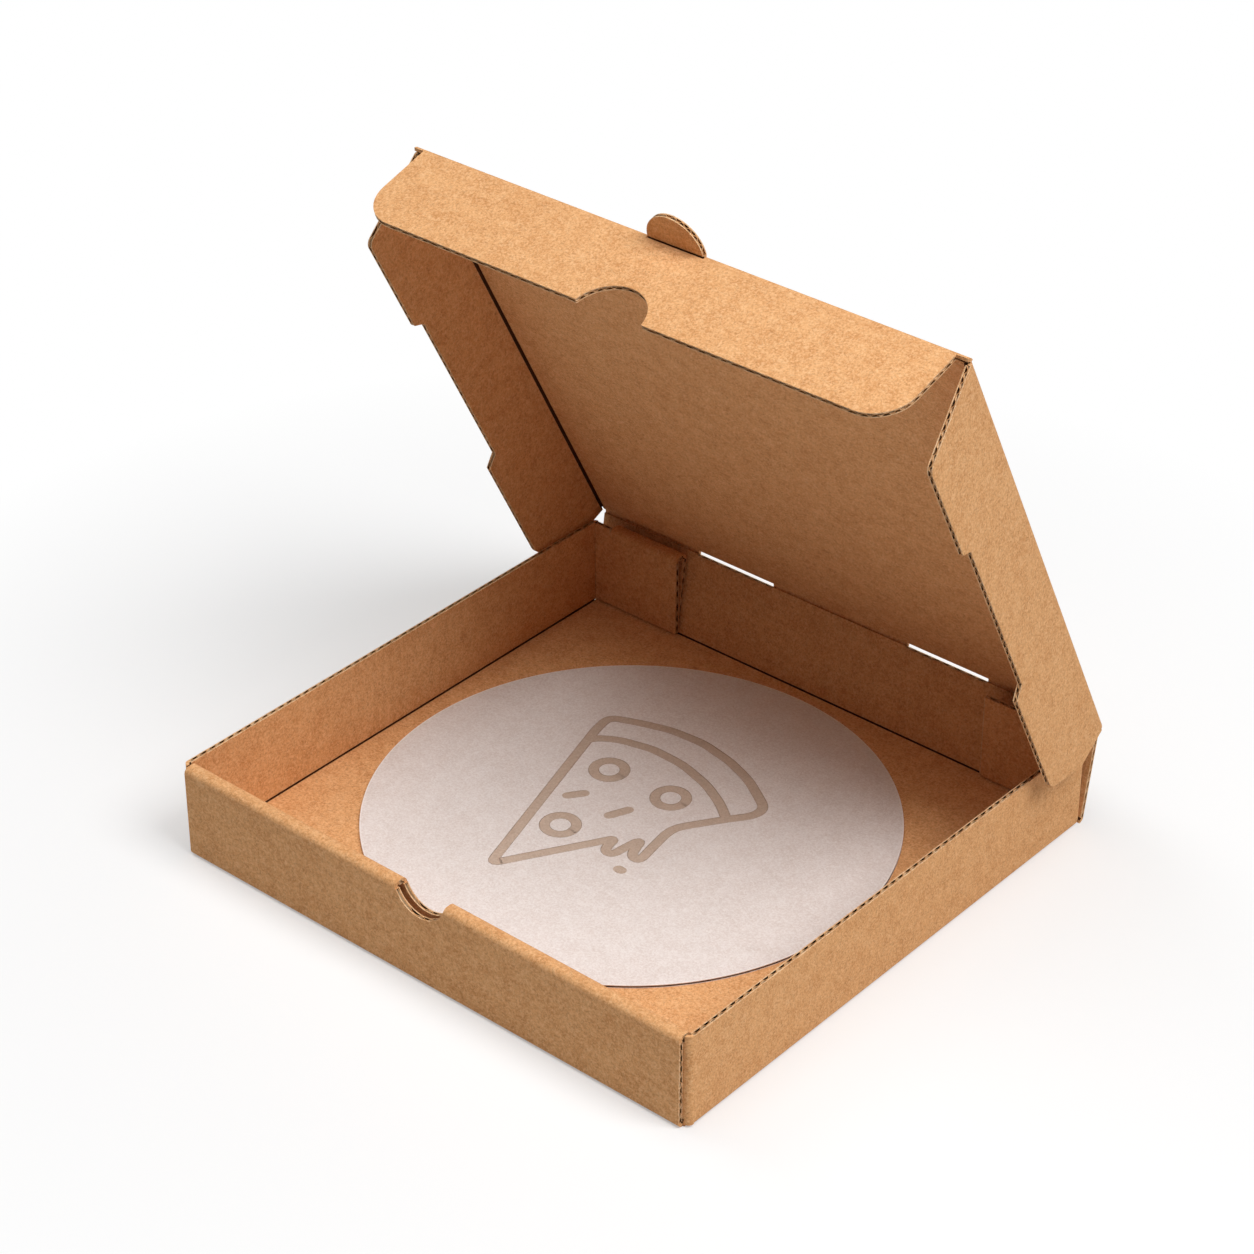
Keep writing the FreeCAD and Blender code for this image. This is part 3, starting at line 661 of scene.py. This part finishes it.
disc = bmesh.new()
bmesh.ops.create_circle(disc, cap_ends=True, segments=192, radius=LINER_RADIUS,
                        matrix=Matrix.Translation(LINER_MIDDLE + UP * LINER_LOW))
top = raise_layers(disc, list(disc.faces), (FOOT_LAYER, MIDDLE_LAYER, TOP_LAYER))
layers = [face for face in disc.faces if abs(face.normal.z) < 0.5 and
          FOOT_LAYER < face.calc_center_median().z - LINER_LOW < FOOT_LAYER + MIDDLE_LAYER]
bmesh.ops.inset_region(disc, faces=layers, thickness=0, depth=-EDGE_SINK)
for face in layers:
    face.material_index = EDGE_SLOT
before = set(disc.faces)
bmesh.ops.inset_region(disc, faces=top, thickness=RIM_WIDTH, depth=0)
for face in set(disc.faces) - before:
    face.material_index = RIM_SLOT
note_sheet_place(disc)
liner = finish_piece("liner_card_disc", disc, Matrix(), "tray", materials=(CARD, CARD_EDGE, CARD_RIM))
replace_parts(liner, "liner_disc")

# The printed lines are thin films with round ends: the slice's outline with a drip of cheese at its
# edge, its crust, three rounds of sausage, two crumbs and a drop. Places are millimetres on the liner.
INK = sheet_paper("liner_ink", linear(200, 178, 160), linear(193, 171, 153), linear(176, 152, 134),
                  linear(210, 192, 177), rough=0.7)
LINE = 1.55 * MM
FLATTENED = 0.03
SAUSAGE = 4.5
SLICE = [(-20.2, -38.4), (-41, 30), (-42, 36.5), (-34.2, 39.8), (-24.3, 43.1), (-12.7, 44.1), (-1, 42),
         (8.7, 38.4), (16.6, 33.5), (20.8, 30.6), (20.8, 26), (16, 19.7), (8.1, 8), (7.5, 4), (8.9, -4.4),
         (10.2, -11.2), (6.6, -10.6), (4.2, -2.8), (3.2, -8.3), (2.6, -14), (-0.8, -13.4), (-1.6, -7),
         (-3.9, -11.2)]
CRUST = [(-38.7, 24.5), (-37, 26.8), (-32, 29.8), (-21.7, 32.4), (-10.1, 32), (1.2, 28.8), (9.7, 24.4),
         (15.5, 20)]


def rounded(corners, closed, reach=3.0):
    """The corners joined by a line that turns softly at each of them."""
    corners = [Vector(corner) for corner in corners]
    line = []
    for number, corner in enumerate(corners):
        if not closed and number in (0, len(corners) - 1):
            line.append(corner)
            continue
        before = corners[number - 1] - corner
        after = corners[(number + 1) % len(corners)] - corner
        first = corner + before.normalized() * min(reach, before.length / 2)
        last = corner + after.normalized() * min(reach, after.length / 2)
        for part in (0, 0.2, 0.4, 0.6, 0.8, 1):
            line.append(first * (1 - part) ** 2 + corner * 2 * part * (1 - part) + last * part ** 2)
    return line + line[:1] if closed else line


def ring(middle, radius, steps=28):
    """A full round, closed at its start."""
    return [Vector(point) for point in arc(middle, radius, 0, 360, steps)]


strokes = [
    rounded(SLICE, True),
    rounded(CRUST, False),
    ring((-24.6, 16.5), SAUSAGE),
    ring((-2.4, 17.3), SAUSAGE),
    ring((-17.5, -12.5), SAUSAGE),
    [Vector((-25.3, -0.7)), Vector((-22.4, 3.2))],
    [Vector((-10.1, -0.3)), Vector((-7.7, 5.2))],
    [Vector((8.2, -17.5)), Vector((9.2, -17.5))],
]
line_objects = []
for stroke in strokes:
    curve = bpy.data.curves.new("printed_line", "CURVE")
    curve.dimensions = "3D"
    curve.bevel_depth = LINE
    curve.bevel_resolution = 3
    curve.use_fill_caps = True
    spline = curve.splines.new("POLY")
    spline.points.add(len(stroke) - 1)
    for point, place in zip(spline.points, stroke):
        point.co = (place.x * MM, place.y * MM, 0, 1)
    shape = bpy.data.objects.new("printed_line", curve)
    bpy.context.collection.objects.link(shape)
    line_objects.append(shape)
print_mesh = bmesh.new()
for shape in line_objects:
    print_mesh.from_mesh(bpy.data.meshes.new_from_object(shape))
    bpy.data.objects.remove(shape)
for stroke in strokes:
    for end in (stroke[0], stroke[-1]):
        bmesh.ops.create_uvsphere(print_mesh, u_segments=14, v_segments=8, radius=LINE,
                                  matrix=Matrix.Translation((end.x * MM, end.y * MM, 0)))
bmesh.ops.scale(print_mesh, vec=(1, 1, FLATTENED), verts=print_mesh.verts)
bmesh.ops.translate(print_mesh, vec=(0, 0, LINER_TOP), verts=print_mesh.verts)
note_sheet_place(print_mesh)
finish_piece("liner_print", print_mesh, Matrix(), "tray", materials=(INK,))


# The studio: a white floor that keeps a soft shadow, a white surround, three round soft lights, from
# above, from the right and a weaker one from the left, and the camera.
floor_mesh = bmesh.new()
bmesh.ops.create_circle(floor_mesh, cap_ends=True, segments=64, radius=6)
data = bpy.data.meshes.new("studio_floor")
floor_mesh.to_mesh(data)
floor_mesh.free()
studio_floor = bpy.data.objects.new("studio_floor", data)
bpy.context.collection.objects.link(studio_floor)
white = bpy.data.materials.new("studio_white")
white.use_nodes = True
tree = white.node_tree
paint = tree.nodes["Principled BSDF"]
paint.inputs["Roughness"].default_value = 0.9
paint.inputs["Specular IOR Level"].default_value = 0.0
path = add_node(tree, "ShaderNodeLightPath")
# The camera sees a white floor with the box's shadow, and the box sees a greyer one.
seen = add_node(tree, "ShaderNodeMix", {"data_type": "RGBA"}, _0=path.outputs["Is Camera Ray"],
                _6=(0.78, 0.77, 0.75, 1), _7=(0.95, 0.95, 0.95, 1))
tree.links.new(seen.outputs[2], paint.inputs["Base Color"])
glow = add_node(tree, "ShaderNodeEmission", Color=(1, 1, 1, 1), Strength=1.0)
place = add_node(tree, "ShaderNodeTexCoord")
far = add_node(tree, "ShaderNodeVectorMath", {"operation": "LENGTH"}, _0=place.outputs["Object"])
# Round the box the floor takes the shadow, and further off it turns plain white.
fade = add_node(tree, "ShaderNodeMapRange", Value=far.outputs["Value"], From_Min=0.14, From_Max=0.28,
                To_Min=0.36, To_Max=1.0)
share = add_node(tree, "ShaderNodeMath", {"operation": "MULTIPLY"}, _0=path.outputs["Is Camera Ray"],
                 _1=fade.outputs["Result"])
both = add_node(tree, "ShaderNodeMixShader", _0=share.outputs["Value"], _1=paint.outputs["BSDF"],
                _2=glow.outputs["Emission"])
tree.links.new(both.outputs["Shader"], tree.nodes["Material Output"].inputs["Surface"])
data.materials.append(white)

world = bpy.data.worlds.new("studio")
bpy.context.scene.world = world
world.use_nodes = True
tree = world.node_tree
soft = tree.nodes["Background"]
soft.inputs["Color"].default_value = (1, 1, 1, 1)
soft.inputs["Strength"].default_value = 0.03
bright = add_node(tree, "ShaderNodeBackground", Color=(1, 1, 1, 1), Strength=1.0)
path = add_node(tree, "ShaderNodeLightPath")
both = add_node(tree, "ShaderNodeMixShader", _0=path.outputs["Is Camera Ray"],
                _1=soft.outputs["Background"], _2=bright.outputs["Background"])
tree.links.new(both.outputs["Shader"], tree.nodes["World Output"].inputs["Surface"])


def softbox(name, place, width, power):
    """A round soft light that faces the box."""
    lamp = bpy.data.lights.new(name, "AREA")
    lamp.shape = "DISK"
    lamp.size = width
    lamp.energy = power
    light = bpy.data.objects.new(name, lamp)
    bpy.context.collection.objects.link(light)
    light.location = place
    light.rotation_mode = "QUATERNION"
    light.rotation_quaternion = (light.location - Vector((0, 0, 0.05))).to_track_quat("Z", "Y")


softbox("right_light", (0.78, 0.03, 1.1), 0.8, 11.2)
softbox("overhead_light", (0.05, -0.2, 1.3), 1.3, 8.2)
softbox("left_light", (-0.8, -0.1, 1.0), 0.7, 2.6)

camera = bpy.data.cameras.new("camera")
camera.sensor_width = 36
camera.lens = 99.21
camera.clip_start = 0.01
view = bpy.data.objects.new("camera", camera)
bpy.context.collection.objects.link(view)
turn, lift = math.radians(40.68), math.radians(32.76)
behind = Vector((math.sin(turn) * math.cos(lift), -math.cos(turn) * math.cos(lift), math.sin(lift)))
view.location = (0.5049, -0.5918, 0.5698)
view.rotation_mode = "QUATERNION"
view.rotation_quaternion = behind.to_track_quat("Z", "Y")
bpy.context.scene.camera = view
bpy.context.scene.view_settings.view_transform = "Standard"
